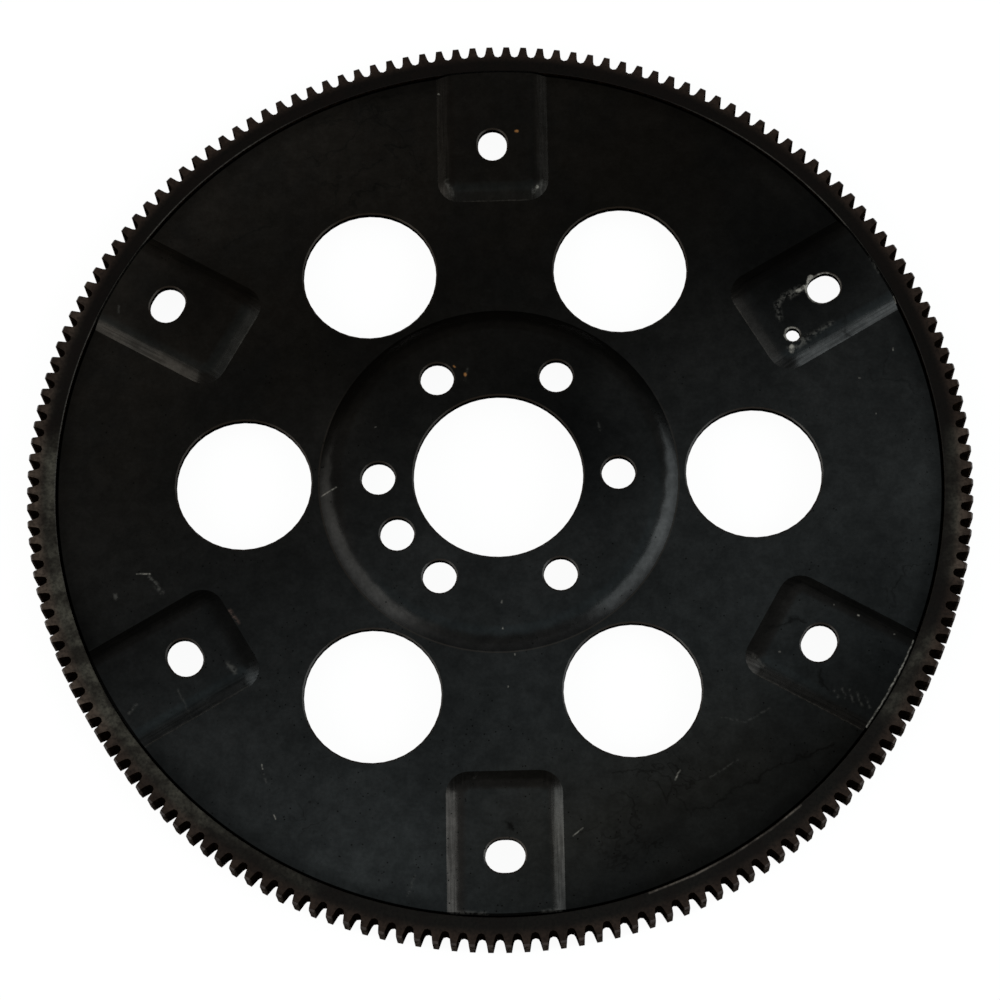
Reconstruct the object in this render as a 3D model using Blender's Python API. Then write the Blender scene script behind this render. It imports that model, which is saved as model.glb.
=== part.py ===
"""Flexplate: a pressed steel disc with a welded starter ring gear, lying flat with its hub side up.

Units are metres and +Z is up. The Z axis is the crankshaft's axis, Z = 0 is the gear's lower face,
and the first converter pad points along +Y.
"""

from math import asin, cos, hypot, pi, radians, sin, tan

import bmesh
import bpy
from mathutils import Vector
from mathutils.geometry import delaunay_2d_cdt
from mathutils.kdtree import KDTree

# Sheet of the disc
SHEET_THICKNESS = 0.003
ROLLED_EDGE_WIDTH = 0.0006
ROLLED_EDGE_DROP = 0.0004

# Crank bolt pattern, with the big bore inside it
CRANK_CIRCLE_DIAMETER = 0.09093
CRANK_HOLE_DIAMETER = 0.0128
CRANK_HOLE_COUNT = 6
CRANK_HOLES_TO_BORE = 0.006965
DOWEL_HOLE_DIAMETER = 0.0129
DOWEL_INSIDE_CRANK_CIRCLE = 0.000965
DOWEL_ANGLE = radians(210)

# Raised hub that carries the pattern
CRANK_HOLES_TO_HUB_BEND = 0.006975
HUB_HEIGHT = 0.0038
HUB_RAMP_ANGLE = radians(35)
HUB_BEND_RADIUS = 0.012

# Lightening holes round the hub, between the pads
LIGHTENING_HOLE_DIAMETER = 0.0514
HUB_TO_LIGHTENING_HOLES = 0.00309

# Converter pads, and the two converter bolt circles that they alternate between
PAD_COUNT = 6
PAD_WIDTH = 0.0432
PAD_LENGTH = 0.0546
PAD_HEIGHT = 0.0025
PAD_RAMP_ANGLE = radians(25)
PAD_BEND_RADIUS = 0.011
PAD_CORNER_RADIUS = 0.0085
LARGE_CONVERTER_CIRCLE_DIAMETER = 0.2921
CONVERTER_CIRCLE_STEP = 0.01905
LOCATING_HOLE_WIDTH = 0.01126
LOCATING_HOLE_LENGTH = 0.0131
CLEARANCE_HOLE_WIDTH = 0.0127
CLEARANCE_HOLE_LENGTH = 0.0148
SMALL_HOLE_DIAMETER = 0.0054
SMALL_HOLE_OFFSET = 0.0099
SMALL_HOLE_BACK_FROM_BOLT = 0.0204

# Rim of the disc and the ring gear round it
RIM_MARGIN = 0.0222
RIM_CLEARANCE = 0.0003
RING_WALL = 0.00604
RING_THICKNESS = 0.0127
RING_ABOVE_DISC = 0.0012
RING_BORE_CHAMFER = 0.0002

# Teeth, with a lead-in chamfer on the end that the starter's pinion enters from
TOOTH_COUNT = 168
TOOTH_HEIGHT = 0.00487
TOOTH_TIP_WIDTH = 0.00201
TOOTH_ROOT_WIDTH = 0.0034
ROOT_FILLET_HEIGHT = 0.00145
LEAD_IN_DEPTH = 0.00064
LEAD_IN_LENGTH = 0.00114
FIRST_TOOTH_ANGLE = radians(0.161)

# Weld beads in the corner under the disc
BEADS_PER_GAP = 2
BEAD_LENGTH = 0.022
BEAD_LEG = 0.0042
BEAD_END_SCALE = 0.45
BEAD_SPREAD = radians(24)
BEAD_CLEARANCE = 0.0003

# Facets of the round shapes
RIM_FACETS = 144
HUB_FACETS = 84
BORE_FACETS = 60
LIGHTENING_FACETS = 40
BOLT_HOLE_FACETS = 24
SMALL_HOLE_FACETS = 12
BEND_STEPS = 3
CORNER_STEPS = 6
ROOT_STEPS = 4
BEAD_SECTION_STEPS = 4
BEAD_PATH_STEPS = 6

# Edges that turn more than this stay sharp, points closer than this are one point, and a cutter
# reaches this far past what it cuts
SHARP_ANGLE = radians(16)
SAME_POINT = 1e-6
CUT_MARGIN = 0.001

# Finishes, each as colour, roughness and metallic value
OILED_BLACK_SHEET = ((0.018, 0.020, 0.022), 0.42, 0.6)
BROWNED_GEAR_STEEL = ((0.030, 0.024, 0.020), 0.5, 0.7)
DARK_WELD_STEEL = ((0.040, 0.036, 0.033), 0.6, 0.7)

# Sizes that follow from the ones above
CRANK_HOLES_INNER_RADIUS = (CRANK_CIRCLE_DIAMETER - CRANK_HOLE_DIAMETER) / 2
CRANK_HOLES_OUTER_RADIUS = (CRANK_CIRCLE_DIAMETER + CRANK_HOLE_DIAMETER) / 2
BORE_RADIUS = CRANK_HOLES_INNER_RADIUS - CRANK_HOLES_TO_BORE
HUB_TOP_RADIUS = CRANK_HOLES_OUTER_RADIUS + CRANK_HOLES_TO_HUB_BEND
DOWEL_RADIUS = CRANK_CIRCLE_DIAMETER / 2 - DOWEL_INSIDE_CRANK_CIRCLE
SMALL_CONVERTER_CIRCLE_DIAMETER = LARGE_CONVERTER_CIRCLE_DIAMETER - CONVERTER_CIRCLE_STEP
RIM_RADIUS = LARGE_CONVERTER_CIRCLE_DIAMETER / 2 + RIM_MARGIN
RING_BORE_RADIUS = RIM_RADIUS + RIM_CLEARANCE
ROOT_RADIUS = RING_BORE_RADIUS + RING_WALL
TIP_RADIUS = ROOT_RADIUS + TOOTH_HEIGHT
DISC_TOP = RING_THICKNESS - RING_ABOVE_DISC
DISC_BOTTOM = DISC_TOP - SHEET_THICKNESS
TOOTH_PITCH = 2 * pi / TOOTH_COUNT
PAD_PITCH = 2 * pi / PAD_COUNT
PAD_ANGLES = [pi / 2 - PAD_PITCH * i for i in range(PAD_COUNT)]
PAD_INNER_RADIUS = RIM_RADIUS - PAD_LENGTH


def ramp_profile(height, angle, bend_radius):
    """Points (distance in from the base crease, height) of a pressed ramp with a soft upper bend."""
    bend_length = bend_radius * tan(angle / 2)
    corner = height / tan(angle)
    points = [(0.0, 0.0)]
    for step in range(BEND_STEPS + 1):
        turned = angle * (1 - step / BEND_STEPS)
        points.append((corner + bend_length - bend_radius * sin(turned),
                       height - bend_radius * (1 - cos(turned))))
    return points


HUB_RAMP = ramp_profile(HUB_HEIGHT, HUB_RAMP_ANGLE, HUB_BEND_RADIUS)
PAD_RAMP = ramp_profile(PAD_HEIGHT, PAD_RAMP_ANGLE, PAD_BEND_RADIUS)
HUB_BASE_RADIUS = HUB_TOP_RADIUS + HUB_RAMP[-1][0]
LIGHTENING_CIRCLE_RADIUS = (HUB_BASE_RADIUS + HUB_TO_LIGHTENING_HOLES
                            + LIGHTENING_HOLE_DIAMETER / 2)


def ramp_height(profile, distance):
    """Height on a ramp, read from its profile at a distance in from the base crease."""
    if distance <= 0:
        return 0.0
    for (near, low), (far, high) in zip(profile, profile[1:]):
        if distance < far:
            return low + (high - low) * (distance - near) / (far - near)
    return profile[-1][1]


def pad_distance(point, pad_angle):
    """How far a point lies inside a pad's rounded outline. The pad is open towards the rim."""
    along = point.x * cos(pad_angle) + point.y * sin(pad_angle)
    across = abs(point.x * sin(pad_angle) - point.y * cos(pad_angle))
    side = across - (PAD_WIDTH / 2 - PAD_CORNER_RADIUS)
    end = PAD_INNER_RADIUS + PAD_CORNER_RADIUS - along
    if side > 0 and end > 0:
        return PAD_CORNER_RADIUS - hypot(side, end)
    return PAD_CORNER_RADIUS - max(side, end)


def pressed_height(point):
    """Height that the press gives the sheet at a point of the flat blank."""
    hub = ramp_height(HUB_RAMP, HUB_BASE_RADIUS - point.length)
    pads = (ramp_height(PAD_RAMP, pad_distance(point, angle)) for angle in PAD_ANGLES)
    return max(hub, *pads)


def polar(radius, angle):
    return Vector((radius * cos(angle), radius * sin(angle)))


def circle(centre, radius, facets):
    return [centre + polar(radius, 2 * pi * i / facets) for i in range(facets)]


def slot(centre, angle, width, length, facets):
    """Outline of a hole with round ends, whose length runs along the given angle."""
    reach = polar((length - width) / 2, angle)
    half = facets // 2
    outline = []
    for end, start in ((1, angle - pi / 2), (-1, angle + pi / 2)):
        outline += [centre + reach * end + polar(width / 2, start + pi * i / half)
                    for i in range(half + 1)]
    return outline


def pad_path(pad_angle, inset):
    """Open path round a pad, parallel to its base crease: down one side, across and up the other."""
    corner = PAD_CORNER_RADIUS - inset
    side = PAD_WIDTH / 2 - PAD_CORNER_RADIUS
    end = PAD_INNER_RADIUS + PAD_CORNER_RADIUS
    beyond_rim = RIM_RADIUS + SHEET_THICKNESS
    path = [(beyond_rim, -side - corner)]
    for sign in (-1, 1):
        for step in range(CORNER_STEPS + 1):
            turn = pi / 2 * step / CORNER_STEPS
            across = cos(turn) if sign < 0 else sin(turn)
            back = sin(turn) if sign < 0 else cos(turn)
            path.append((end - corner * back, sign * (side + corner * across)))
    path.append((beyond_rim, side + corner))
    return [polar(along, pad_angle) + polar(across, pad_angle - pi / 2) for along, across in path]


def punched_holes():
    """Every hole in the disc, as a function of how much wider than the hole its outline is."""
    centre = Vector((0, 0))
    yield lambda grow: circle(centre, BORE_RADIUS + grow, BORE_FACETS)
    for i in range(CRANK_HOLE_COUNT):
        place = polar(CRANK_CIRCLE_DIAMETER / 2, 2 * pi * i / CRANK_HOLE_COUNT)
        yield lambda grow, at=place: circle(at, CRANK_HOLE_DIAMETER / 2 + grow, BOLT_HOLE_FACETS)
    dowel = polar(DOWEL_RADIUS, DOWEL_ANGLE)
    yield lambda grow: circle(dowel, DOWEL_HOLE_DIAMETER / 2 + grow, BOLT_HOLE_FACETS)
    for angle in PAD_ANGLES:
        place = polar(LIGHTENING_CIRCLE_RADIUS, angle - PAD_PITCH / 2)
        yield lambda grow, at=place: circle(
            at, LIGHTENING_HOLE_DIAMETER / 2 + grow, LIGHTENING_FACETS)
    for i, angle in enumerate(PAD_ANGLES):
        yield converter_hole(i, angle)
    reach = LARGE_CONVERTER_CIRCLE_DIAMETER / 2 - SMALL_HOLE_BACK_FROM_BOLT
    small = polar(reach, PAD_ANGLES[1]) + polar(SMALL_HOLE_OFFSET, PAD_ANGLES[1] - pi / 2)
    yield lambda grow: circle(small, SMALL_HOLE_DIAMETER / 2 + grow, SMALL_HOLE_FACETS)


def converter_hole(index, angle):
    """Slot in one pad. The first of each bolt circle locates the converter across, so it is narrow
    and runs along the radius. The others run across it."""
    diameter = LARGE_CONVERTER_CIRCLE_DIAMETER if index % 2 else SMALL_CONVERTER_CIRCLE_DIAMETER
    place = polar(diameter / 2, angle)
    if index < 2:
        return lambda grow: slot(place, angle, LOCATING_HOLE_WIDTH + 2 * grow,
                                 LOCATING_HOLE_LENGTH + 2 * grow, BOLT_HOLE_FACETS)
    return lambda grow: slot(place, angle + pi / 2, CLEARANCE_HOLE_WIDTH + 2 * grow,
                             CLEARANCE_HOLE_LENGTH + 2 * grow, BOLT_HOLE_FACETS)


def flat_skin(rolled_edges):
    """Triangles of the flat disc, cut along its creases, ramp lines and holes, as (places, faces).

    With rolled edges, a line also runs beside each punched edge, where the roll begins.
    """
    places, edges, loops = [], [], []

    def add(path, closed=True):
        first = len(places)
        places.extend(path)
        last = len(places) - 1
        edges.extend((i, i + 1) for i in range(first, last))
        if closed:
            edges.append((last, first))
        return list(range(first, last + 1))

    centre = Vector((0, 0))
    loops.append(add(circle(centre, RIM_RADIUS, RIM_FACETS)))
    if rolled_edges:
        add(circle(centre, RIM_RADIUS - ROLLED_EDGE_WIDTH, RIM_FACETS))
    for outline in punched_holes():
        loops.append(add(outline(0)))
        if rolled_edges:
            add(outline(ROLLED_EDGE_WIDTH))
    for inset, _ in HUB_RAMP:
        add(circle(centre, HUB_BASE_RADIUS - inset, HUB_FACETS))
    for angle in PAD_ANGLES:
        for inset, _ in PAD_RAMP:
            add(pad_path(angle, inset), closed=False)
    verts, _, faces, _, _, inside = delaunay_2d_cdt(places, edges, loops, 0, SAME_POINT)
    return verts, [face for face, of_loops in zip(faces, inside) if of_loops == [0]]


def add_skin(bm, skin, height, faces_up):
    """Pressed copy of a flat skin at a height of its own. Returns its vertices at the punched edges."""
    places, faces = skin
    verts = {}
    for face in faces:
        for i in face:
            if i not in verts:
                verts[i] = bm.verts.new((*places[i], height + pressed_height(places[i])))
        bm.faces.new([verts[i] for i in (face if faces_up else reversed(face))])
    return [vert for vert in verts.values() if vert.is_boundary]


def new_object(name, mesh, collection):
    obj = bpy.data.objects.new(name, mesh)
    collection.objects.link(obj)
    return obj


def shade(mesh):
    mesh.shade_smooth()
    mesh.set_sharp_from_angle(angle=SHARP_ANGLE)


def flex_disc(collection):
    """Two pressed skins a sheet apart, joined by the walls of the rim and of the holes."""
    bm = bmesh.new()
    upper = add_skin(bm, flat_skin(rolled_edges=True), DISC_TOP, faces_up=True)
    upper_edges = [edge for edge in bm.edges if edge.is_boundary]
    lower = add_skin(bm, flat_skin(rolled_edges=False), DISC_BOTTOM, faces_up=False)
    tree = KDTree(len(lower))
    for i, vert in enumerate(lower):
        tree.insert((*vert.co.xy, 0), i)
    tree.balance()
    below = {vert: lower[tree.find((*vert.co.xy, 0))[1]] for vert in upper}
    for edge in upper_edges:
        first, last = edge.verts
        bm.faces.new((first, last, below[last], below[first]))
    for vert in upper:
        vert.co.z -= ROLLED_EDGE_DROP
    bmesh.ops.recalc_face_normals(bm, faces=bm.faces[:])
    mesh = bpy.data.meshes.new("flex_disc")
    bm.to_mesh(mesh)
    bm.free()
    shade(mesh)
    return new_object("flex_disc", mesh, collection)


def tooth_outline():
    """Outline of all the teeth: straight flanks, and a round root between each two teeth."""
    flank_radius = ROOT_RADIUS + ROOT_FILLET_HEIGHT
    tip = asin(TOOTH_TIP_WIDTH / 2 / TIP_RADIUS)
    flank = asin(TOOTH_ROOT_WIDTH / 2 / flank_radius)
    half_gap = TOOTH_PITCH / 2 - flank
    outline = []
    for i in range(TOOTH_COUNT):
        middle = FIRST_TOOTH_ANGLE + i * TOOTH_PITCH
        outline += [polar(flank_radius, middle - flank), polar(TIP_RADIUS, middle - tip),
                    polar(TIP_RADIUS, middle + tip), polar(flank_radius, middle + flank)]
        for step in range(1, ROOT_STEPS):
            turn = pi * step / ROOT_STEPS
            outline.append(polar(flank_radius - ROOT_FILLET_HEIGHT * sin(turn),
                                 middle + TOOTH_PITCH / 2 - half_gap * cos(turn)))
    return outline


def tooth_cutter(cutters):
    """Toothed plate that the gear's blank is cut to, a margin taller than the blank."""
    curve = bpy.data.curves.new("tooth_cutter", "CURVE")
    curve.dimensions = "2D"
    curve.fill_mode = "BOTH"
    curve.extrude = RING_THICKNESS / 2 + CUT_MARGIN
    outline = tooth_outline()
    spline = curve.splines.new("POLY")
    spline.points.add(len(outline) - 1)
    for point, place in zip(spline.points, outline):
        point.co = (place.x, place.y, 0, 1)
    spline.use_cyclic_u = True
    plate = new_object("tooth_outline", curve, cutters)
    plate.location.z = RING_THICKNESS / 2
    cutter = converted(plate, "tooth_cutter", cutters)
    cutter.hide_render = True
    cutter.display_type = "WIRE"
    return cutter


def converted(curve_object, name, collection):
    """Replaces a curve object by its welded mesh, which can then be cut and joined."""
    bpy.context.view_layer.update()
    graph = bpy.context.evaluated_depsgraph_get()
    mesh = bpy.data.meshes.new_from_object(curve_object.evaluated_get(graph))
    mesh.name = name
    bm = bmesh.new()
    bm.from_mesh(mesh)
    bmesh.ops.remove_doubles(bm, verts=bm.verts[:], dist=SAME_POINT)
    bmesh.ops.recalc_face_normals(bm, faces=bm.faces[:])
    bm.to_mesh(mesh)
    bm.free()
    solid = new_object(name, mesh, collection)
    solid.matrix_world = curve_object.matrix_world
    bpy.data.objects.remove(curve_object)
    return solid


def ring_blank(collection):
    """Turned ring with both edges of its bore chamfered, and a cone for the teeth's lead-in.

    It has one facet to a tooth, with the facets' corners at the gaps.
    """
    wide_bore = RING_BORE_RADIUS + RING_BORE_CHAMFER
    cone_length = LEAD_IN_LENGTH * (1 + CUT_MARGIN / LEAD_IN_DEPTH)
    section = [(wide_bore, 0), (TIP_RADIUS + CUT_MARGIN, 0),
               (TIP_RADIUS + CUT_MARGIN, RING_THICKNESS - cone_length),
               (TIP_RADIUS - LEAD_IN_DEPTH, RING_THICKNESS), (wide_bore, RING_THICKNESS),
               (RING_BORE_RADIUS, RING_THICKNESS - RING_BORE_CHAMFER),
               (RING_BORE_RADIUS, RING_BORE_CHAMFER)]
    bm = bmesh.new()
    start = FIRST_TOOTH_ANGLE + TOOTH_PITCH / 2
    verts = [bm.verts.new((*polar(radius, start), height)) for radius, height in section]
    edges = [bm.edges.new(ends) for ends in zip(verts, verts[1:] + verts[:1])]
    bmesh.ops.spin(bm, geom=verts + edges, cent=(0, 0, 0), axis=(0, 0, 1), angle=2 * pi,
                   steps=TOOTH_COUNT, use_merge=True)
    bmesh.ops.remove_doubles(bm, verts=bm.verts[:], dist=SAME_POINT)
    bmesh.ops.recalc_face_normals(bm, faces=bm.faces[:])
    mesh = bpy.data.meshes.new("ring_gear")
    bm.to_mesh(mesh)
    bm.free()
    return new_object("ring_gear", mesh, collection)


def ring_gear(collection, cutters):
    """Starter gear, cut from its blank."""
    gear = ring_blank(collection)
    teeth = gear.modifiers.new("teeth", "BOOLEAN")
    teeth.operation = "INTERSECT"
    teeth.object = tooth_cutter(cutters)
    shade(gear.data)
    return gear


def weld_bead(name, middle, collection):
    """Fillet weld that follows the gear's bore under the disc, thinner at its two ends."""
    leg_radius = RING_BORE_RADIUS - BEAD_CLEARANCE
    top = DISC_BOTTOM - BEAD_CLEARANCE
    profile = bpy.data.curves.new(name + "_profile", "CURVE")
    profile.dimensions = "2D"
    section = profile.splines.new("POLY")
    bulge = [Vector((0, 0))] + [-polar(BEAD_LEG, pi / 2 * i / BEAD_SECTION_STEPS)
                                for i in range(BEAD_SECTION_STEPS + 1)]
    section.points.add(len(bulge) - 1)
    for point, place in zip(section.points, bulge):
        point.co = (place.x, place.y, 0, 1)
    section.use_cyclic_u = True
    guide = new_object(name + "_profile", profile, collection)
    path = bpy.data.curves.new(name + "_path", "CURVE")
    path.dimensions = "2D"
    path.bevel_mode = "OBJECT"
    path.bevel_object = guide
    path.use_fill_caps = True
    line = path.splines.new("POLY")
    line.points.add(BEAD_PATH_STEPS)
    spread = BEAD_LENGTH / leg_radius
    for i, point in enumerate(line.points):
        place = polar(leg_radius, middle + spread * (i / BEAD_PATH_STEPS - 0.5))
        point.co = (place.x, place.y, 0, 1)
        point.radius = BEAD_END_SCALE if i in (0, BEAD_PATH_STEPS) else 1.0
    sweep = new_object(name + "_sweep", path, collection)
    sweep.location.z = top
    bead = converted(sweep, name, collection)
    bpy.data.objects.remove(guide)
    shade(bead.data)
    return bead


def weld_beads(collection):
    """Beads lie where the disc's underside is flat, between the pads."""
    beads = []
    for gap in range(PAD_COUNT):
        centre = PAD_ANGLES[gap] - PAD_PITCH / 2
        for i in range(BEADS_PER_GAP):
            middle = centre + BEAD_SPREAD * (i - (BEADS_PER_GAP - 1) / 2)
            beads.append(weld_bead(f"weld_bead_{len(beads) + 1:02d}", middle, collection))
    return beads


def material(name, finish):
    colour, roughness, metallic = finish
    made = bpy.data.materials.new(name)
    made.use_nodes = True
    shader = made.node_tree.nodes["Principled BSDF"]
    shader.inputs["Base Color"].default_value = (*colour, 1)
    shader.inputs["Roughness"].default_value = roughness
    shader.inputs["Metallic"].default_value = metallic
    return made


def clear_scene():
    for obj in list(bpy.data.objects):
        bpy.data.objects.remove(obj, do_unlink=True)


def main():
    clear_scene()
    parts = bpy.data.collections.new("flexplate")
    cutters = bpy.data.collections.new("cutters")
    for collection in (parts, cutters):
        bpy.context.scene.collection.children.link(collection)
    disc = flex_disc(parts)
    disc.data.materials.append(material("oiled_black_sheet", OILED_BLACK_SHEET))
    gear = ring_gear(parts, cutters)
    gear.data.materials.append(material("browned_gear_steel", BROWNED_GEAR_STEEL))
    bead_steel = material("dark_weld_steel", DARK_WELD_STEEL)
    for bead in weld_beads(parts):
        bead.data.materials.append(bead_steel)


main()
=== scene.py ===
"""Finish, light and camera for a blackened steel flexplate that lies on a pale floor.

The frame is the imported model's: Z is the crankshaft's axis, the floor is at Z = 0 and the first
converter pad points along +Y. Units are metres, and millimetres where a comment says so.
"""

from functools import cached_property
from math import cos, pi, radians, sin

import bpy
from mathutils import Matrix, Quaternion, Vector

MM = 0.001

# Camera, found from the places of the bolt circles in the photograph
CAMERA_PLACE = Vector((0.025298, -0.408980, 1.250769))
CAMERA_TURN = tuple(radians(angle) for angle in (17.875981, 1.475538, -1.005463))
CAMERA_LENS_MM = 123.853
CAMERA_REACH = 50
SENSOR_WIDTH_MM = 36.0

# Outlines that the finish follows
HUB_BASE_RADIUS = 0.06805
HUB_CREASE_RADIUS = 0.06835
PAD_COUNT = 6
PAD_HALF_WIDTH = 0.0217
PAD_INNER_RADIUS = 0.1136

# Creases that turn less than this look soft, and points this close are one point
SHARP_ANGLE = radians(16)
SAME_POINT = 1e-6

# The rise of a face is one on a flat and zero on a wall, and walls become upper faces in this range
WALL_RISE = (0.2, 0.4)

# Noises: scale, detail and, where it isn't one half, roughness, and for the stains also distortion
CLOUDS = (26, 4, 0.6)
GRAIN = (700, 2, 0.6)
MOTTLE = (160, 2, 0.6)
DENTS = (230, 3, 0.55)
STREAKS = (1100, 2)
PITTED_AREAS = (34, 3, 0.7)
STAIN_RIDGES = (48, 4, 0.6, 0.4)
RAGGED = (450, 2)
WAVY = (90, 4, 0.6)
GEAR_CLOUDS = (110, 4, 0.65)
GEAR_GRAIN = (800, 2, 0.6)
WELD_RIPPLES = (700, 2)

# How far ragged and wavy marks stray, how much slower streaks change along than across, and how
# deep dents and ripples are
RAGGED_REACH = 0.0007
WAVY_REACH = 0.012
STREAK_SQUEEZE = 0.04
DENT_DEPTH = 0.00004
RIPPLE_DEPTH = 0.0004

# Every smooth step below is given as the range that it lies in and, unless it goes from zero to
# one or from one to zero, what it goes from and to.

WHITE = (1, 1, 1, 1)

# Brown oxide on blued oxide, towards one side and where it is rusty
BLUED = (0.0015, 0.0018, 0.0020, 1)
BROWNED = (0.0034, 0.0026, 0.0019, 1)
BROWN_TINT = (1.0, 0.91, 0.82, 1)
BROWN_SIDE = (-0.45, 0.9, 0)
BROWN_BY_SIDE = (-0.03, 0.11)
BROWN_BY_CLOUDS = (0.3, 0.6, 0.6, 1.0)
RUSTY_SOFTNESS = 0.035

# Shine and roughness of the oxide
SHEEN_BY_CLOUDS = (0.3, 0.7, 0.43, 0.63)
SHEEN_BY_GRAIN = (0.25, 0.75, 0.88, 1.12)
SHEEN_BY_MOTTLE = (0.3, 0.7, 0.86, 1.16)
SHEEN_BY_STREAKS = (0.35, 0.6, 0.75, 1.25)
SHEEN_BY_GRIME_AND_SHADE = (0.0, 1.0, 1.0, 0.1)
SLOPES_BY_RISE = (0.93, 0.985)
STREAKS_BY_RISE = (0.93, 0.98)
STREAKS_BY_SIDE = (0.0135, 0.0145)
ROUGHNESS_BY_CLOUDS = (0.3, 0.7, 0.285, 0.25)
GRIME_AND_SHADE_ROUGHNESS = 0.6

# Gain of the shine on the slopes of each region, a painted reflection of the lamps, and dim bands
# by radius; the band at the foot of the hub is painted shade of a rounded crease
PAINTED_SLOPE_SHEEN = {"hub": 1.0, "flat": 1.0, "pad_1": 1.6, "pad_2": 1.15, "pad_3": 1.0, "pad_4": 1.3,
              "pad_5": 0.9, "pad_6": 1.25}
DIM_BANDS = {"hub": (0.06555, 0.06805, 1.0, 0.6), "flat": (0.1596, 0.1676, 1.0, 0.6)}

# Wear of the holes' rolled edges, and a painted highlight along the crease round the hub's front,
# on its half towards -Y
EDGE_BROWN = (0.030, 0.021, 0.015, 1)
EDGE_WEAR_BY_RISE = (0.85, 0.88, 0.8, 0.0)
HUB_WEAR_BY_RADIUS = (0.0578, 0.0588)
CREASE_HIGHLIGHT_BY_DISTANCE = (0.0001, 0.0004, 0.7, 0.0)
CREASE_HIGHLIGHT_BY_Y = (0.0, 0.05)

# Grime and painted shade: pits, stains, smudges and dark spots are grime, and the dark band at the
# rim, by the gear, and the dark walls are painted shade. Pits grow fewer towards the back.
GRIME_AND_SHADE = (0.0006, 0.0005, 0.0004, 1)
PITS_SCALE = 380
PITS_BY_CELL = (0.08, 0.17, 0.7, 0.0)
PITS_BY_AREA = (0.46, 0.60)
PITS_LOST_PER_METRE = 0.6
STAIN_BY_RIDGE = (0.002, 0.022, 0.4, 0.0)
STAIN_SOFTNESS = 0.006
SMUDGE_BY_CLOUDS = (0.3, 0.6, 0.3, 0.65)
SMUDGE_SOFTNESS = 0.0009
DARK_SOFTNESS = 0.0008
RIM_SHADE_BY_RADIUS = (0.1673, 0.1676)

# Light marks on the disc, with painted highlights along creases among them: colour, softness of the
# edge, and how much of it the grain's gaps keep
LIGHT_MARKS = {"crease_highlight": ((0.045, 0.040, 0.034, 1), 0.0003, 0.45),
               "dusty": ((0.11, 0.105, 0.095, 1), 0.0014, 0.0),
               "faint": ((0.075, 0.072, 0.066, 1), 0.0008, 0.12),
               "orange": ((0.50, 0.22, 0.07, 1), 0.0004, 0.45),
               "pink": ((0.13, 0.08, 0.065, 1), 0.0008, 0.12),
               "bare": ((0.48, 0.45, 0.40, 1), 0.00035, 0.3)}
MARKS_BY_GRAIN = (0.40, 0.62)

# The gear's face, which is paler in front and rubbed in places, with a painted highlight along
# parts of its bore edge and a painted glint on bared steel at its lower right
FACE_FRONT_TO_BACK = ((0.012, 0.0095, 0.0075, 1), (0.0058, 0.0037, 0.0026, 1))
FACE_BY_Y = (-0.12, 0.08)
RUBBED_FACE = (0.150, 0.138, 0.110, 1)
RUBBED_AND_HIGHLIT_SOFTNESS = 0.008
RUBBED_BY_CLOUDS = (0.35, 0.65, 0.4, 1.0)
BORE_HIGHLIGHT = (0.115, 0.105, 0.092, 1)
BORE_HIGHLIGHT_BY_X = (0.06, 0.11, 0.0, 0.8)
BORE_HIGHLIGHT_SIDE = (-0.35, 1, 0)
BORE_HIGHLIGHT_BY_SIDE = (0.0, 0.05, 0.1, 1.0)
BORE_HIGHLIGHT_BY_RADIUS = (0.1688, 0.1690)
BRIGHT_EDGE_COLOUR = (0.32, 0.27, 0.23, 1)
BRIGHT_EDGE_SOFTNESS = 0.0005
BRIGHT_EDGE_BY_CLOUDS = (0.35, 0.55, 0.5, 1.0)

# The gear's teeth, gaps and tips, and the dirt on all of it. The gaps' dark colours are painted
# shade, and the paler tips are worn steel with a painted highlight.
TEETH_TO_RUBBED_AND_HIGHLIT_TEETH = ((0.052, 0.032, 0.0235, 1), (0.250, 0.185, 0.145, 1))
TEETH_BY_RADIUS = (0.1721, 0.1766)
SHADED_GAP_COLOURS = ((0.0030, 0.0018, 0.0012, 1), (0.014, 0.008, 0.005, 1))
GAPS_BY_GRAIN = (0.45, 0.6)
TIP_COLOURS = ((0.020, 0.014, 0.011, 1), (0.085, 0.068, 0.058, 1))
TIPS_BY_GRAIN = (0.4, 0.6)
TIPS_BY_RADIUS = (0.1784, 0.1791)
GEAR_DIRT = (0.008, 0.004, 0.003, 1)
DIRT_BY_CLOUDS = (0.35, 0.62, 0.5, 0.0)
GRIME_BY_GRAIN = (0.3, 0.62, 0.45, 0.0)
SHEEN_BY_UPRIGHT = (0.0, 1.0, 0.17, 0.0)
ROUGHNESS_BY_UPRIGHT = (0.0, 1.0, 0.38, 0.8)

WELD_COLOURS = ((0.01, 0.009, 0.008, 1), (0.05, 0.045, 0.04, 1))
WELD_ROUGHNESS = 0.5

# Softboxes on the left and on the right. Bearings are counted from +X, and a lean turns a box
# about the line to the plate.
SOFTBOX_DISTANCE = 2.4
SOFTBOX_SIZE = (3.0, 1.25)
SOFTBOX_ELEVATION = radians(34.5)
LEFT_BEARING = radians(186)
RIGHT_BEARING = radians(-2)
LEAN = radians(32)
LEFT_GLOW = (1.00, 1.00, 0.95)
RIGHT_GLOW = (1.17, 1.28, 1.30)

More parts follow.
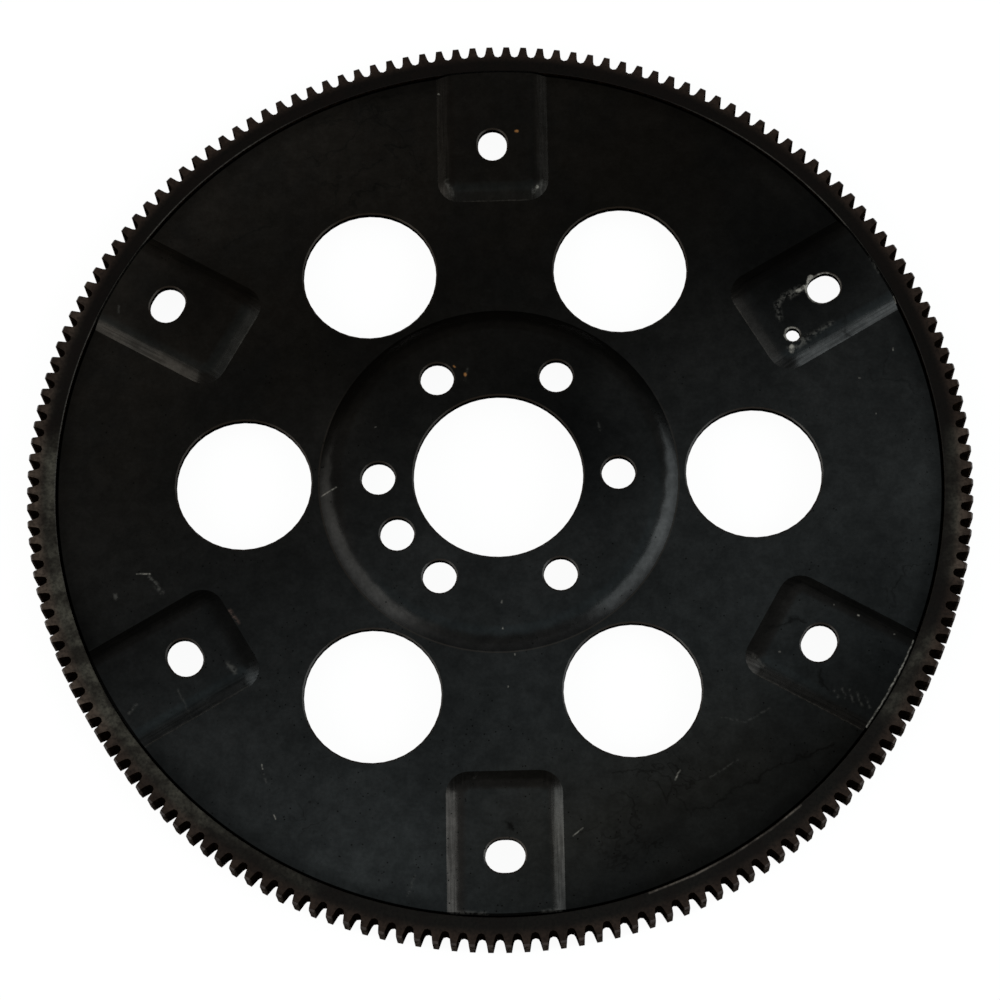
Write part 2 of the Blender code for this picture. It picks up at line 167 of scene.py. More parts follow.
# The studio: low down it is pale in front, and overhead a wide strip is warm or cool by side
LOW_BACK_TO_FRONT = ((0.024, 0.022, 0.017, 1), (0.42, 0.43, 0.43, 1))
FRONT_BY_DIRECTION = (-0.3, 0.5)
HIGHER_UP = (0.13, 0.125, 0.115, 1)
HIGHER_BY_DIRECTION = (0.40, 0.70)
OVERHEAD_WARM_TO_COOL = ((0.28, 0.245, 0.22, 1), (0.28, 0.345, 0.36, 1))
OVERHEAD_SHAPE = (0.8, 0, 1)
OVERHEAD_BY_SHAPE = (0.88, 0.985)
COOL_SIDE = (0.45, -0.85, 0.28)
COOL_BY_SIDE = (-0.15, 0.15)

# The floor lights the plate with its own colour. Where it is seen, it glows over a darker colour,
# save in a ring under the plate's rim, where a shadow is painted.
FLOOR_SIZE = 12.0
FLOOR_COLOUR = (0.8, 0.8, 0.8, 1)
FLOOR_GLOW = 0.95
BACKDROP_COLOUR = (0.16, 0.16, 0.16, 1)
SHADOW_RING_START = (0.157, 0.161)
SHADOW_RING_END = (0.1740, 0.1744)


def chain(points, half_width):
    """Strokes that follow a line of points."""
    return tuple((start, end, half_width) for start, end in zip(points, points[1:]))


def spot(x, y, half_width):
    """A stroke that stays at one point."""
    return ((x, y), (x, y), half_width)


# Areas of the disc and the gear, as strokes in millimetres: start, end and half width. Where the
# half width is below zero, only the soft edge of a stroke is left.
RUSTY = (((20, -140), (90, -115), 20), ((60, -150), (125, -105), 10))
RUBBED_AND_HIGHLIT = (chain(((-170.8, 14.9), (-165.7, -44.4), (-145.4, -90.9)), 3.5)
          + chain(((-177.5, 15), (-172, -48), (-156, -88)), 1.0)
          + (((-145.4, -90.9), (-112, -129), 1.5), ((-112, -129), (-72, -155), -2.0),
             ((175.3, 12.0), (171.0, -40.0), 0.0), ((157.6, -67.6), (143.4, -94.0), 0.0),
             # The last stroke, along the upper left teeth, is a painted highlight on their tops
             ((-177.5, 15), (-158, 83), -3.0)))
# Bright line on the bore edge at the lower right: bared steel with a painted glint
BRIGHT_EDGE = chain(((52.3, -160.9), (68.9, -154.6), (83.0, -147.5), (97.2, -138.5),
                     (108.8, -129.6)), 0.15)

# Soft areas where the oxide shines more or less, some from uneven oil and some painted reflection
# on the hub's slopes: x, y and reach in millimetres, and gain
OILY_AND_PAINTED_SHEEN_AREAS = ((65, 120, 110, 0.28), (-125, 0, 110, 0.49), (-40, 65, 100, 0.31),
               (155, -140, 110, 0.14), (25, 20, 60, 0.27), (-55, -145, 50, 1.65),
               (55, -170, 80, 0.47), (120, 85, 40, 0.38), (170, 0, 50, 1.6),
               (-115, 75, 35, 0.6), (-25, 170, 70, 0.54), (-170, -70, 50, 0.35),
               (35, -135, 25, 1.5), (-125, 95, 110, 0.8), (125, -125, 110, 1.2),
               (-80, -30, 25, 0.7), (35, -55, 45, 0.85), (50, 30, 30, 1.7),
               (50, -40, 20, 0.75), (-60, 20, 20, 1.6))

# Wear of each region, and painted highlights, as strokes in millimetres. Stains, smudges and dark
# spots are grime, crease highlights are painted highlights along the pads' creases, and the other
# kinds are light marks, save the first faint stroke of pad 5, a painted highlight near its corner.
WEAR_AND_HIGHLIGHTS = {
    "hub": {
        "faint": (((38.3, 20.7), (38.9, 17.1), 0.1), ((-11.0, 43.0), (-12.0, 38.5), 0.1)),
        "orange": (((-12.0, 41.0), (-12.0, 40.6), 0.47), ((-16.2, 44.4), (-15.8, 44.0), 0.2)),
        "pink": (((-17.1, 66.9), (-16.7, 66.9), 0.29), ((-9.3, 68.3), (-9.0, 68.3), 0.29)),
        "bare": (((0.5, -49.6), (0.5, -50.0), 0.25), ((0.7, -59.9), (0.7, -60.3), 0.22),
                 ((-67.1, -5.7), (-61.4, -3.1), 0.15), ((-46.6, 20.5), (-46.2, 20.5), 0.1)),
    },
    "flat": {
        "stain": (spot(-50, 135, 25), spot(153, -45, 12), spot(-72, -130, 8),
                  ((50, -140), (60, -125), 18)),
        "smudge": chain(((141, 41), (144, 35), (157, 35), (162, 29)), 0.35)
                  + chain(((40, -116), (60, -116), (68, -132), (94, -118)), 0.3)
                  + (((148.4, 38), (149.5, 45), 0.45), ((26, -139.6), (45, -127), 0.25),
                     ((45, -150), (53, -138), 0.25), ((-49, 148), (-32, 144), 0.3),
                     ((-42, 139), (-33, 138), 0.45), ((-55, 126), (-44, 133), 0.3),
                     ((-52, 156), (-36, 161), 0.4), ((91, -119), (121, -106), 0.45),
                     ((-105, 97), (-87, 107), 0.35)),
        "pink": (((-102.0, -49.5), (-98.5, -54.5), 0.4),),
        "dark": (((-72.1, -123.8), (-71.7, -123.8), 0.2),),
        "faint": chain(((81.2, -95.2), (89.6, -97.3), (99.0, -92.2)), 0.0)
                 + (((75.9, -117.9), (86.4, -111.7), 0.0), ((-35.9, -159.4), (-33.2, -152.0), 0.1),
                    ((-132.1, -35.7), (-127.5, -41.7), 0.72),
                    ((-145.2, -42.9), (-144.8, -43.3), 0.90),
                    ((-88.7, -113.0), (-88.0, -115.9), 0.1)),
        "bare": (((4.9, -69.2), (4.9, -69.6), 0.15), ((2.1, -81.4), (2.1, -81.8), 0.1),
                 ((-137.0, -34.4), (-132.1, -34.5), 0.15), ((-89.5, -109.4), (-89.2, -111.0), 0.1),
                 ((-85.0, -128.4), (-84.4, -130.0), 0.1), ((24.9, -138.8), (28.6, -135.9), 0.1),
                 ((63.0, -118.7), (64.9, -115.0), 0.15), ((138.4, 36.8), (138.7, 36.7), 0.2),
                 ((151.9, 48.6), (151.9, 47.6), 0.1), ((144.1, 22.4), (144.1, 22.0), 0.1)),
    },
    "pad_1": {
        "orange": (((9.4, 142.1), (9.8, 142.1), 0.50),),
        "faint": (((-18.3, 122.2), (-16.1, 116.6), 0.7), ((15.9, 117.0), (19.9, 121.1), 0.7)),
        "crease_highlight": (((-12, 113.8), (14, 113.8), 0.1),),
        "bare": (((-21.1, 159.9), (-20.7, 159.5), 0.22), ((17.0, 118.6), (17.2, 118.8), 0.5)),
    },
    "pad_2": {
        "dusty": (((108.6, 66.0), (109.0, 61.0), 0.6), ((114.4, 49.9), (128.9, 58.5), 0.4),
                  ((117.0, 72.5), (111.4, 69.7), 1.2), ((111.4, 69.7), (108.0, 66.5), 0.7),
                  ((113.2, 48.9), (119.0, 52.5), 1.4)),
        "faint": (((144.9, 85.3), (147.7, 79.0), 0.3),),
        "crease_highlight": (((104.9, 45.7), (92.2, 68.3), 0.1),),
        "smudge": chain(((133.3, 61.7), (133.1, 57.6), (134.1, 54.3)), 0.3),
        "bare": (((125.3, 72.5), (127.1, 73.5), 5.9), ((120.6, 73.0), (121.8, 77.0), 1.4),
                 ((118.9, 73.6), (116.4, 72.0), 0.7), ((113.2, 49.3), (113.1, 47.7), 1.0),
                 ((153.0, 69.0), (153.9, 66.5), 0.1), spot(113.4, 54.4, 3.0)),
    },
    "pad_3": {
        "faint": (((93.5, -72.1), (97.4, -76.8), 0.3), ((122.8, -86.6), (124.2, -89.3), 0.1),
                  ((125.8, -85.9), (127.1, -89.7), 0.1), ((128.7, -86.7), (129.6, -91.3), 0.1),
                  ((131.3, -87.9), (132.9, -92.9), 0.1), ((134.5, -89.5), (135.8, -93.7), 0.1)),
        "crease_highlight": (((95.0, -79.4), (133, -101.4), 0.1),),
        "smudge": chain(((118.0, -78.8), (118.9, -83.4), (121.3, -87.3)), 0.5)
                  + chain(((97.5, -62.0), (104.0, -60.0), (112.0, -59.0)), 0.5),
        "bare": (((134.3, -100.5), (141.7, -89.8), 0.15), ((141.7, -89.8), (148.7, -77.7), 0.2),
                 ((148.7, -77.7), (153.3, -68.0), 0.1), ((124.4, -53.5), (124.4, -53.8), 0.05),
                 ((133.1, -57.9), (133.5, -58.0), 0.2), ((146.1, -65.6), (146.5, -65.6), 0.05),
                 ((103.1, -71.5), (103.5, -71.5), 0.15)),
    },
    "pad_4": {
        "smudge": (((0.8, -134.4), (1.2, -136.1), 0.8),),
        "faint": (((-20, -166.2), (-7, -167.3), 0.3), ((12, -166.9), (20, -166.2), 0.3),
                  ((-11.0, -116.7), (-10.2, -114.4), 0.1)),
    },
    "pad_5": {
        # The first faint stroke is a painted highlight near the pad's inner corner
        "faint": (((-102.0, -71.0), (-99.5, -74.0), 0.90),
                  ((-138.8, -89.2), (-136.2, -85.8), 0.3),
                  ((-120.7, -80.6), (-116.1, -90.3), 0.0)),
        "crease_highlight": (((-95.0, -79.4), (-133, -101.4), 0.1),),
    },
    "pad_6": {
        "faint": (((-145.4, 73.9), (-145.4, 69.8), 0.1),),
        "crease_highlight": (((-104.9, 45.7), (-92.2, 68.3), 0.1),),
    },
}

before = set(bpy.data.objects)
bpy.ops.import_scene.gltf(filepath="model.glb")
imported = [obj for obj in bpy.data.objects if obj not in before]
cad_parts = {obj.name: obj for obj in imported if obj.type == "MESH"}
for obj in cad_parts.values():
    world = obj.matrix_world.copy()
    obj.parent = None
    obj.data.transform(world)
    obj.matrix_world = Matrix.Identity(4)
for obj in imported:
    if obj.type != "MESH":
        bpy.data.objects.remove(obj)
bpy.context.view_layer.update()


class Nodes:
    """Writes a node tree as nested calls, each of which returns the socket of its result."""

    def __init__(self, tree):
        self.tree = tree
        tree.nodes.clear()

    def add(self, kind, inputs=None, output=0, **settings):
        """Adds a node with linked or fixed inputs, and returns one of its outputs."""
        node = self.tree.nodes.new("ShaderNode" + kind)
        for name, value in settings.items():
            setattr(node, name, value)
        for key, value in (inputs or {}).items():
            if isinstance(value, bpy.types.NodeSocket):
                self.tree.links.new(value, node.inputs[key])
            else:
                node.inputs[key].default_value = value
        return node.outputs[output] if node.outputs else None

    def math(self, operation, first, second=0.0, **settings):
        return self.add("Math", {0: first, 1: second}, operation=operation, **settings)

    def product(self, first, *others):
        for other in others:
            first = self.math("MULTIPLY", first, other)
        return first

    def highest(self, first, *others):
        for other in others:
            first = self.math("MAXIMUM", first, other)
        return first

    def difference(self, first, second):
        """How far two numbers lie apart."""
        return self.math("ABSOLUTE", self.math("SUBTRACT", first, second))

    def vector(self, operation, first, second=(0, 0, 0), output=0):
        return self.add("VectorMath", {0: first, 1: second}, output, operation=operation)

    def dot(self, first, second):
        return self.vector("DOT_PRODUCT", first, second, output="Value")

    def length(self, vector):
        return self.vector("LENGTH", vector, output="Value")

    def ramp(self, value, low, high, start=0.0, end=1.0):
        """Smooth step from start to end, while the value goes from low to high."""
        return self.add("MapRange", {"Value": value, "From Min": low, "From Max": high,
                                     "To Min": start, "To Max": end},
                        interpolation_type="SMOOTHSTEP")

    def fade(self, value, low, high):
        """Smooth step down from one to zero."""
        return self.ramp(value, low, high, 1.0, 0.0)

    def mix(self, factor, first, second):
        return self.add("Mix", {0: factor, 6: first, 7: second}, 2, data_type="RGBA")

    def noise(self, place, scale, detail, roughness=0.5, distortion=0.0, output="Fac"):
        return self.add("TexNoise", {"Vector": place, "Scale": scale, "Detail": detail,
                                     "Roughness": roughness, "Distortion": distortion}, output)

    def cells(self, place, scale):
        """Distance to the nearest of scattered points."""
        return self.add("TexVoronoi", {"Vector": place, "Scale": scale})

    def dented(self, height, depth):
        """Normal of a surface with dents."""
        return self.add("Bump", {"Height": height, "Distance": depth, "Strength": 1.0})

    def any_ray(self, *rays):
        """One for the named kinds of ray, and zero for the others."""
        return self.highest(*(self.add("LightPath", output=ray) for ray in rays))


class Surface(Nodes):
    """The nodes of a new material, with the sockets that its finish can follow."""

    def __init__(self, name):
        self.material = bpy.data.materials.new(name)
        self.material.use_nodes = True
        super().__init__(self.material.node_tree)

    @cached_property
    def place(self):
        return self.add("TexCoord", output="Object")

    @cached_property
    def level(self):
        """The place without its height."""
        return self.vector("MULTIPLY", self.place, (1, 1, 0))

    @cached_property
    def radius(self):
        return self.length(self.level)

    @cached_property
    def y(self):
        return self.dot(self.place, (0, 1, 0))

    @cached_property
    def rise(self):
        """The upward part of the face's normal."""
        return self.dot(self.add("NewGeometry", output="Normal"), (0, 0, 1))

    def shaken(self, reach, noise):
        """The level place, moved about by noise, so that marks painted there are uneven."""
        shift = self.noise(self.level, *noise, output="Color")
        shift = self.vector("SUBTRACT", shift, (0.5, 0.5, 0.5))
        return self.vector("ADD", self.vector("MULTIPLY", shift, (reach, reach, 0)), self.level)

    def nearest_mark(self, place, marks):
        """Distance from the edge of the nearest of some strokes, below zero inside them."""
        nearest = 1.0
        for (x1, y1), (x2, y2), half_width in marks:
            start = Vector((x1, y1, 0)) * MM
            along = Vector((x2, y2, 0)) * MM - start
            shift = self.vector("SUBTRACT", place, start)
            if along.length:
                part = self.math("MULTIPLY", self.dot(shift, along / along.length_squared), 1.0,
                                 use_clamp=True)
                reach = self.add("VectorMath", {0: along, "Scale": part}, operation="SCALE")
                shift = self.vector("SUBTRACT", shift, reach)
            away = self.math("SUBTRACT", self.length(shift), half_width * MM)
            nearest = self.math("MINIMUM", away, nearest)
        return nearest

    def painted(self, place, marks, softness):
        """One inside some strokes and zero outside them, with edges this soft."""
        return self.fade(self.nearest_mark(place, marks), -softness, softness)

    def finished(self, shader):
        """The material, with this shader as its surface."""
        self.add("OutputMaterial", {"Surface": shader})
        return self.material


def pad_bearing(index):
    """Bearing of a converter pad. Pads are counted clockwise from the one along +Y."""
    return pi / 2 - 2 * pi * index / PAD_COUNT


def slope_streaks(nodes, region):
    """Gain of the fine streaks along the side slopes of a pad."""
    bearing = pad_bearing(int(region[-1]) - 1)
    outward = Vector((cos(bearing), sin(bearing), 0))
    sideways = Vector((-sin(bearing), cos(bearing), 0))
    across = nodes.dot(nodes.place, sideways)
    along = nodes.dot(nodes.place, outward * STREAK_SQUEEZE)
    streaks = nodes.noise(nodes.add("CombineXYZ", {"X": across, "Y": along}), *STREAKS)
    side = nodes.product(nodes.fade(nodes.rise, *STREAKS_BY_RISE),
                         nodes.ramp(nodes.math("ABSOLUTE", across), *STREAKS_BY_SIDE))
    return nodes.mix(side, WHITE, nodes.ramp(streaks, *SHEEN_BY_STREAKS))


def oxide_sheen(nodes, region, clouds, grain):
    """How much the clean oxide shines, with painted reflection on the slopes and in some soft
    areas, and painted shade at the foot of the hub.
    """
    # The gain on the slopes of each region is a painted reflection of the lamps
    sheen = nodes.product(nodes.ramp(clouds, *SHEEN_BY_CLOUDS),
                          nodes.ramp(grain, *SHEEN_BY_GRAIN),
                          nodes.ramp(nodes.noise(nodes.place, *MOTTLE), *SHEEN_BY_MOTTLE),
                          nodes.ramp(nodes.rise, *SLOPES_BY_RISE, PAINTED_SLOPE_SHEEN[region], 1.0))
    # Some of these soft areas are painted reflection on the hub's slopes
    for x, y, reach, gain in OILY_AND_PAINTED_SHEEN_AREAS:
        centre = Vector((x, y, 0)) * MM
        away = nodes.vector("DISTANCE", nodes.level, centre, output="Value")
        sheen = nodes.product(sheen, nodes.math("POWER", gain, nodes.fade(away, 0.0, reach * MM)))
    # Dim bands by radius; the one at the foot of the hub is painted shade of a rounded crease
    if region in DIM_BANDS:
        return nodes.product(sheen, nodes.ramp(nodes.radius, *DIM_BANDS[region]))
    return nodes.product(sheen, slope_streaks(nodes, region))


def worn_edges_and_crease_highlight(nodes, region):
    """How bare the rolled edges of the holes are, with a painted highlight along the crease round
    the hub's front.
    """
    worn = nodes.ramp(nodes.rise, *EDGE_WEAR_BY_RISE)
    if region == "hub":
        return nodes.product(worn, nodes.fade(nodes.radius, *HUB_WEAR_BY_RADIUS))
    if region == "flat":
        # A painted highlight along the hub's crease, on its half towards -Y
        from_crease = nodes.difference(nodes.radius, HUB_CREASE_RADIUS)
        crease_highlight = nodes.product(nodes.ramp(from_crease, *CREASE_HIGHLIGHT_BY_DISTANCE),
                               nodes.fade(nodes.y, *CREASE_HIGHLIGHT_BY_Y))
        return nodes.highest(worn, crease_highlight)
    return worn


def pits(nodes):
    """Fine pits, more of them towards the front."""
    pitted = nodes.math("SUBTRACT", nodes.noise(nodes.level, *PITTED_AREAS),
                        nodes.product(nodes.y, PITS_LOST_PER_METRE))
    return nodes.product(nodes.ramp(nodes.cells(nodes.level, PITS_SCALE), *PITS_BY_CELL),
                         nodes.ramp(pitted, *PITS_BY_AREA))


def stains(nodes, marks):
    """Thin uneven outlines of dried stains."""
    ridge = nodes.difference(nodes.noise(nodes.level, *STAIN_RIDGES), 0.5)
    return nodes.product(nodes.ramp(ridge, *STAIN_BY_RIDGE),
                         nodes.painted(nodes.level, marks, STAIN_SOFTNESS))


def smudges(nodes, marks, clouds):
    """Wavy creases of the oil film."""
    wavy = nodes.shaken(WAVY_REACH, WAVY)
    return nodes.product(nodes.painted(wavy, marks, SMUDGE_SOFTNESS),
                         nodes.ramp(clouds, *SMUDGE_BY_CLOUDS))


def disc_grime_and_shade(nodes, marks, clouds, ragged, upper):
    """How dirty the disc is, with painted shade at its rim and on its walls."""
    grime_and_shade = pits(nodes)
    if "stain" in marks:
        grime_and_shade = nodes.highest(grime_and_shade, stains(nodes, marks["stain"]))
    if "smudge" in marks:
        grime_and_shade = nodes.highest(grime_and_shade, smudges(nodes, marks["smudge"], clouds))
    if "dark" in marks:
        grime_and_shade = nodes.highest(grime_and_shade, nodes.painted(ragged, marks["dark"], DARK_SOFTNESS))
    # Painted shade: the rim by the gear and the walls take the dark grime colour
    rim_shade = nodes.ramp(nodes.radius, *RIM_SHADE_BY_RADIUS)
    return nodes.highest(grime_and_shade, rim_shade, nodes.fade(upper, 0.0, 1.0))


def with_light_marks(nodes, colour, marks, grain, ragged, upper):
    """The disc's colour with its scratches, dust, bare spots and painted highlights, which its
    walls don't have.
    """
    for kind, (bright, softness, kept) in LIGHT_MARKS.items():
        if kind in marks:
            scraped = nodes.product(nodes.painted(ragged, marks[kind], softness),
                                    nodes.ramp(grain, *MARKS_BY_GRAIN, kept, 1.0), upper)
            colour = nodes.mix(scraped, colour, bright)
    return colour


def disc_finish(region):
    """Blackened, oiled sheet with the wear of one region of the disc."""
    nodes = Surface("disc_steel_" + region)
    marks = WEAR_AND_HIGHLIGHTS[region]
    clouds = nodes.noise(nodes.place, *CLOUDS)
    grain = nodes.noise(nodes.place, *GRAIN)
    ragged = nodes.shaken(RAGGED_REACH, RAGGED)
    upper = nodes.ramp(nodes.rise, *WALL_RISE)
    brown = nodes.product(nodes.ramp(nodes.dot(nodes.place, BROWN_SIDE), *BROWN_BY_SIDE),
                          nodes.ramp(clouds, *BROWN_BY_CLOUDS))
    brown = nodes.highest(brown, nodes.painted(nodes.level, RUSTY, RUSTY_SOFTNESS))
    grime_and_shade = disc_grime_and_shade(nodes, marks, clouds, ragged, upper)
    colour = nodes.mix(worn_edges_and_crease_highlight(nodes, region), nodes.mix(brown, BLUED, BROWNED), EDGE_BROWN)
    colour = nodes.mix(grime_and_shade, colour, GRIME_AND_SHADE)
    colour = with_light_marks(nodes, colour, marks, grain, ragged, upper)
    # Grime and painted shade dim the shine, and walls get none, which keeps them in painted shade
    sheen = nodes.product(oxide_sheen(nodes, region, clouds, grain),
                          nodes.ramp(grime_and_shade, *SHEEN_BY_GRIME_AND_SHADE), upper)
    clean_roughness = nodes.ramp(clouds, *ROUGHNESS_BY_CLOUDS)
    return nodes.finished(nodes.add("BsdfPrincipled", {
        "Base Color": colour,
        "Roughness": nodes.ramp(grime_and_shade, 0.0, 1.0, clean_roughness, GRIME_AND_SHADE_ROUGHNESS),
        "Specular IOR Level": sheen,
        "Specular Tint": nodes.mix(brown, WHITE, BROWN_TINT),
        "Normal": nodes.dented(nodes.noise(nodes.place, *DENTS), DENT_DEPTH)}))


def gear_face(nodes, clouds, rubbed_and_highlit):
    """Colour of the gear's upper face, with rubbed patches and a painted highlight and glint on its
    bore edge.
    """
    face = nodes.mix(nodes.ramp(nodes.y, *FACE_BY_Y), *FACE_FRONT_TO_BACK)
    rubbed_and_highlit = nodes.product(rubbed_and_highlit, nodes.ramp(clouds, *RUBBED_BY_CLOUDS))
    face = nodes.mix(rubbed_and_highlit, face, RUBBED_FACE)
    from_middle = nodes.math("ABSOLUTE", nodes.dot(nodes.place, (1, 0, 0)))
    # A painted highlight on the bore edge, on the left and right
    bore_highlight = nodes.product(nodes.ramp(from_middle, *BORE_HIGHLIGHT_BY_X),
                         nodes.ramp(nodes.dot(nodes.place, BORE_HIGHLIGHT_SIDE), *BORE_HIGHLIGHT_BY_SIDE),
                         nodes.fade(nodes.radius, *BORE_HIGHLIGHT_BY_RADIUS))
    face = nodes.mix(bore_highlight, face, BORE_HIGHLIGHT)
    # Bared steel with a painted glint on the bore edge at the lower right
    bright = nodes.product(nodes.painted(nodes.level, BRIGHT_EDGE, BRIGHT_EDGE_SOFTNESS),
                           nodes.ramp(clouds, *BRIGHT_EDGE_BY_CLOUDS))
    return nodes.mix(bright, face, BRIGHT_EDGE_COLOUR)


def gear_walls(nodes, grain):
    """Colour of the gear's upright faces: painted shade in the gaps, and paler tips of worn steel
    with a painted highlight.
    """
    shaded_gaps = nodes.mix(nodes.ramp(grain, *GAPS_BY_GRAIN), *SHADED_GAP_COLOURS)
    tips = nodes.mix(nodes.ramp(grain, *TIPS_BY_GRAIN), *TIP_COLOURS)
    return nodes.mix(nodes.ramp(nodes.radius, *TIPS_BY_RADIUS), shaded_gaps, tips)


def gear_finish():
    """Browned steel with brighter teeth, rubbed patches on its face, painted highlights on its bore
    edge and upper left teeth, and gaps in painted shade.
    """
    nodes = Surface("gear_steel")
    clouds = nodes.noise(nodes.place, *GEAR_CLOUDS)
    grain = nodes.noise(nodes.place, *GEAR_GRAIN)
    rubbed_and_highlit = nodes.painted(nodes.level, RUBBED_AND_HIGHLIT, RUBBED_AND_HIGHLIT_SOFTNESS)
    teeth = nodes.mix(rubbed_and_highlit, *TEETH_TO_RUBBED_AND_HIGHLIT_TEETH)
    colour = nodes.mix(nodes.ramp(nodes.radius, *TEETH_BY_RADIUS),
                       gear_face(nodes, clouds, rubbed_and_highlit), teeth)
    colour = nodes.mix(nodes.ramp(grain, *GRIME_BY_GRAIN), colour, GRIME_AND_SHADE)
    colour = nodes.mix(nodes.ramp(clouds, *DIRT_BY_CLOUDS), colour, GEAR_DIRT)
    # Upright faces don't shine, which keeps the gaps in painted shade
    upright = nodes.fade(nodes.math("ABSOLUTE", nodes.rise), *WALL_RISE)
    return nodes.finished(nodes.add("BsdfPrincipled", {
        "Base Color": nodes.mix(upright, colour, gear_walls(nodes, grain)),
        "Roughness": nodes.ramp(upright, *ROUGHNESS_BY_UPRIGHT),
        "Specular IOR Level": nodes.ramp(upright, *SHEEN_BY_UPRIGHT),
        "Normal": nodes.dented(grain, DENT_DEPTH)}))


def weld_finish():
    """Dark rippled weld."""
    nodes = Surface("weld_steel")
    ripple = nodes.noise(nodes.place, *WELD_RIPPLES)
    return nodes.finished(nodes.add("BsdfPrincipled", {
        "Base Color": nodes.mix(ripple, *WELD_COLOURS),
        "Roughness": WELD_ROUGHNESS,
        "Normal": nodes.dented(ripple, RIPPLE_DEPTH)}))


def floor_finish():
    """White to camera, glossy and transmission rays, with a painted shadow in a ring under the rim.
    """
    nodes = Surface("floor")
    painted_shadow_ring = nodes.product(nodes.ramp(nodes.radius, *SHADOW_RING_START),
                              nodes.fade(nodes.radius, *SHADOW_RING_END))
    glow = nodes.ramp(painted_shadow_ring, 0.0, 1.0, FLOOR_GLOW, 0.0)
    backdrop = nodes.add("AddShader", {0: nodes.add("Emission", {"Strength": glow}),
                                       1: nodes.add("BsdfDiffuse", {"Color": BACKDROP_COLOUR})})
    plain = nodes.add("BsdfDiffuse", {"Color": FLOOR_COLOUR})
    seen = nodes.any_ray("Is Camera Ray", "Is Glossy Ray", "Is Transmission Ray")
    return nodes.finished(nodes.add("MixShader", {0: seen, 1: plain, 2: backdrop}))


def add_camera():
    """Camera that sees the plate as the photograph does."""
    data = bpy.data.cameras.new("camera")
    data.sensor_width = SENSOR_WIDTH_MM
    data.lens = CAMERA_LENS_MM
    data.clip_end = CAMERA_REACH
    camera = bpy.data.objects.new("camera", data)
    camera.location = CAMERA_PLACE
    camera.rotation_euler = CAMERA_TURN
    bpy.context.scene.collection.objects.link(camera)
    bpy.context.scene.camera = camera


def add_floor():
    """Floor that the plate lies on."""
    bpy.ops.mesh.primitive_plane_add(size=FLOOR_SIZE)
    floor = bpy.context.object
    floor.name = "floor"
    floor.data.materials.append(floor_finish())


def add_world():
    """Dim studio: warm grey overhead, cooler in front, dark behind, and white to the camera."""
    world = bpy.data.worlds.new("studio")
    world.use_nodes = True
    nodes = Nodes(world.node_tree)
    direction = nodes.vector("NORMALIZE", nodes.add("TexCoord", output="Generated"))
    front = nodes.ramp(nodes.dot(direction, (0, -1, 0)), *FRONT_BY_DIRECTION)
    higher = nodes.ramp(nodes.dot(direction, (0, 0, 1)), *HIGHER_BY_DIRECTION)
    light = nodes.mix(higher, nodes.mix(front, *LOW_BACK_TO_FRONT), HIGHER_UP)
    cool = nodes.ramp(nodes.dot(direction, COOL_SIDE), *COOL_BY_SIDE)
    strip = nodes.length(nodes.vector("MULTIPLY", direction, OVERHEAD_SHAPE))
    light = nodes.mix(nodes.ramp(strip, *OVERHEAD_BY_SHAPE), light,
                      nodes.mix(cool, *OVERHEAD_WARM_TO_COOL))
    colour = nodes.mix(nodes.any_ray("Is Camera Ray", "Is Transmission Ray"), light, WHITE)
    nodes.add("OutputWorld", {"Surface": nodes.add("Background", {"Color": colour})})
    bpy.context.scene.world = world


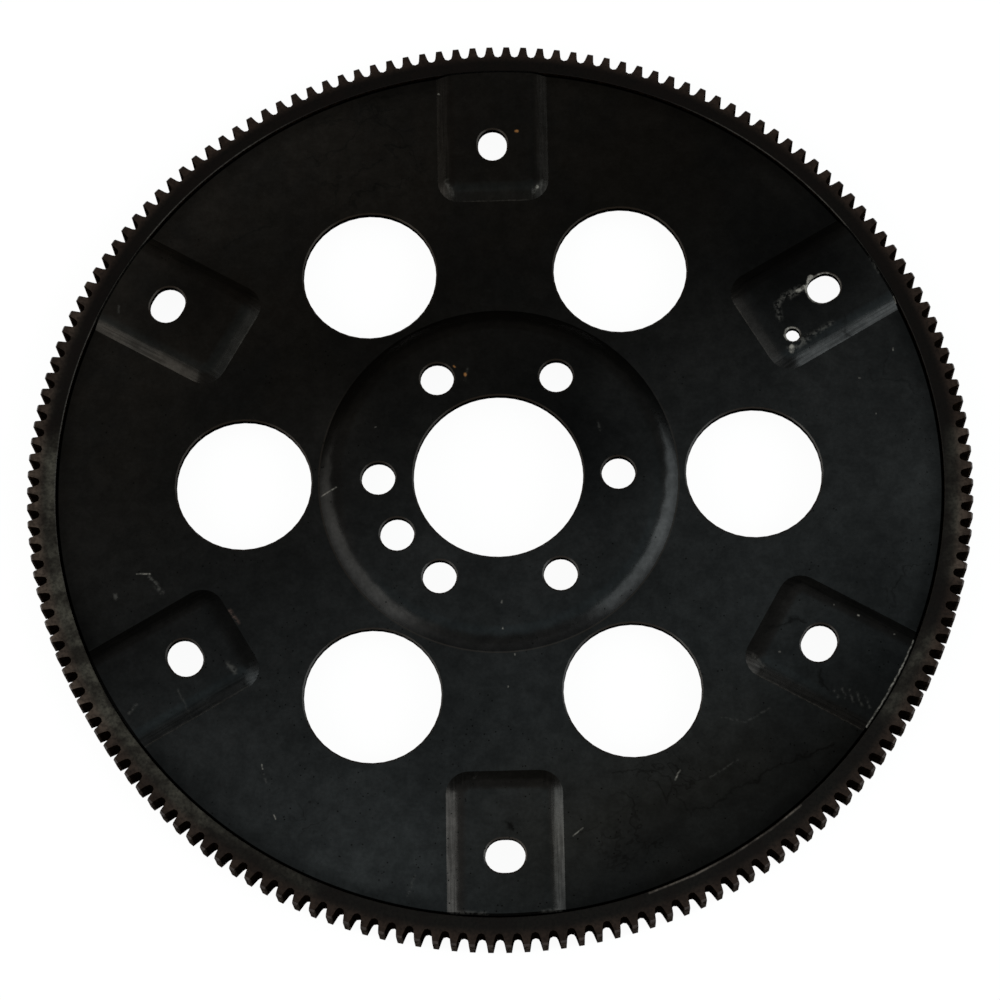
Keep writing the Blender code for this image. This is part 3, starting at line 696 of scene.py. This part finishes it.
def add_softbox(name, bearing, lean, glow):
    """Long lamp that faces the plate. Its power makes its surface as bright as its glow."""
    data = bpy.data.lights.new(name, "AREA")
    data.shape = "RECTANGLE"
    data.size, data.size_y = SOFTBOX_SIZE
    data.color = glow
    data.energy = pi * data.size * data.size_y
    lamp = bpy.data.objects.new(name, data)
    away = Vector((cos(bearing) * cos(SOFTBOX_ELEVATION), sin(bearing) * cos(SOFTBOX_ELEVATION),
                   sin(SOFTBOX_ELEVATION)))
    lamp.location = away * SOFTBOX_DISTANCE
    turn = (-away).to_track_quat("-Z", "Y") @ Quaternion((0, 0, 1), lean)
    lamp.rotation_euler = turn.to_euler()
    bpy.context.scene.collection.objects.link(lamp)


def region_of(place):
    """Name of the disc's region that a place lies in."""
    if place.xy.length < HUB_BASE_RADIUS:
        return "hub"
    for index in range(PAD_COUNT):
        bearing = pad_bearing(index)
        outward = Vector((cos(bearing), sin(bearing)))
        from_middle = abs(place.xy.cross(outward))
        if place.xy.dot(outward) > PAD_INNER_RADIUS and from_middle < PAD_HALF_WIDTH:
            return f"pad_{index + 1}"
    return "flat"


def smooth(piece):
    """Shades a CAD piece smooth between its creases, with even flats."""
    mesh = piece.data
    if "custom_normal" in mesh.attributes:
        mesh.attributes.remove(mesh.attributes["custom_normal"])
    mesh.shade_smooth()
    weld = piece.modifiers.new("weld", "WELD")
    weld.merge_threshold = SAME_POINT
    creases = piece.modifiers.new("creases", "EDGE_SPLIT")
    creases.split_angle = SHARP_ANGLE
    even = piece.modifiers.new("even_flats", "WEIGHTED_NORMAL")
    even.mode = "FACE_AREA"
    even.keep_sharp = True


def dress(piece, finish):
    """Gives a whole piece one finish."""
    piece.data.materials.clear()
    piece.data.materials.append(finish)


def dress_disc(disc):
    """Gives each face of the disc the finish of its region."""
    regions = list(WEAR_AND_HIGHLIGHTS)
    disc.data.materials.clear()
    for region in regions:
        disc.data.materials.append(disc_finish(region))
    for face in disc.data.polygons:
        face.material_index = regions.index(region_of(face.center))


weld_steel = weld_finish()
for name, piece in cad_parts.items():
    smooth(piece)
    if name == "flex_disc":
        dress_disc(piece)
    elif name == "ring_gear":
        dress(piece, gear_finish())
    else:
        dress(piece, weld_steel)
add_camera()
add_floor()
add_world()
add_softbox("softbox_right", RIGHT_BEARING, -LEAN, RIGHT_GLOW)
add_softbox("softbox_left", LEFT_BEARING, LEAN, LEFT_GLOW)
bpy.context.scene.view_settings.view_transform = "Standard"
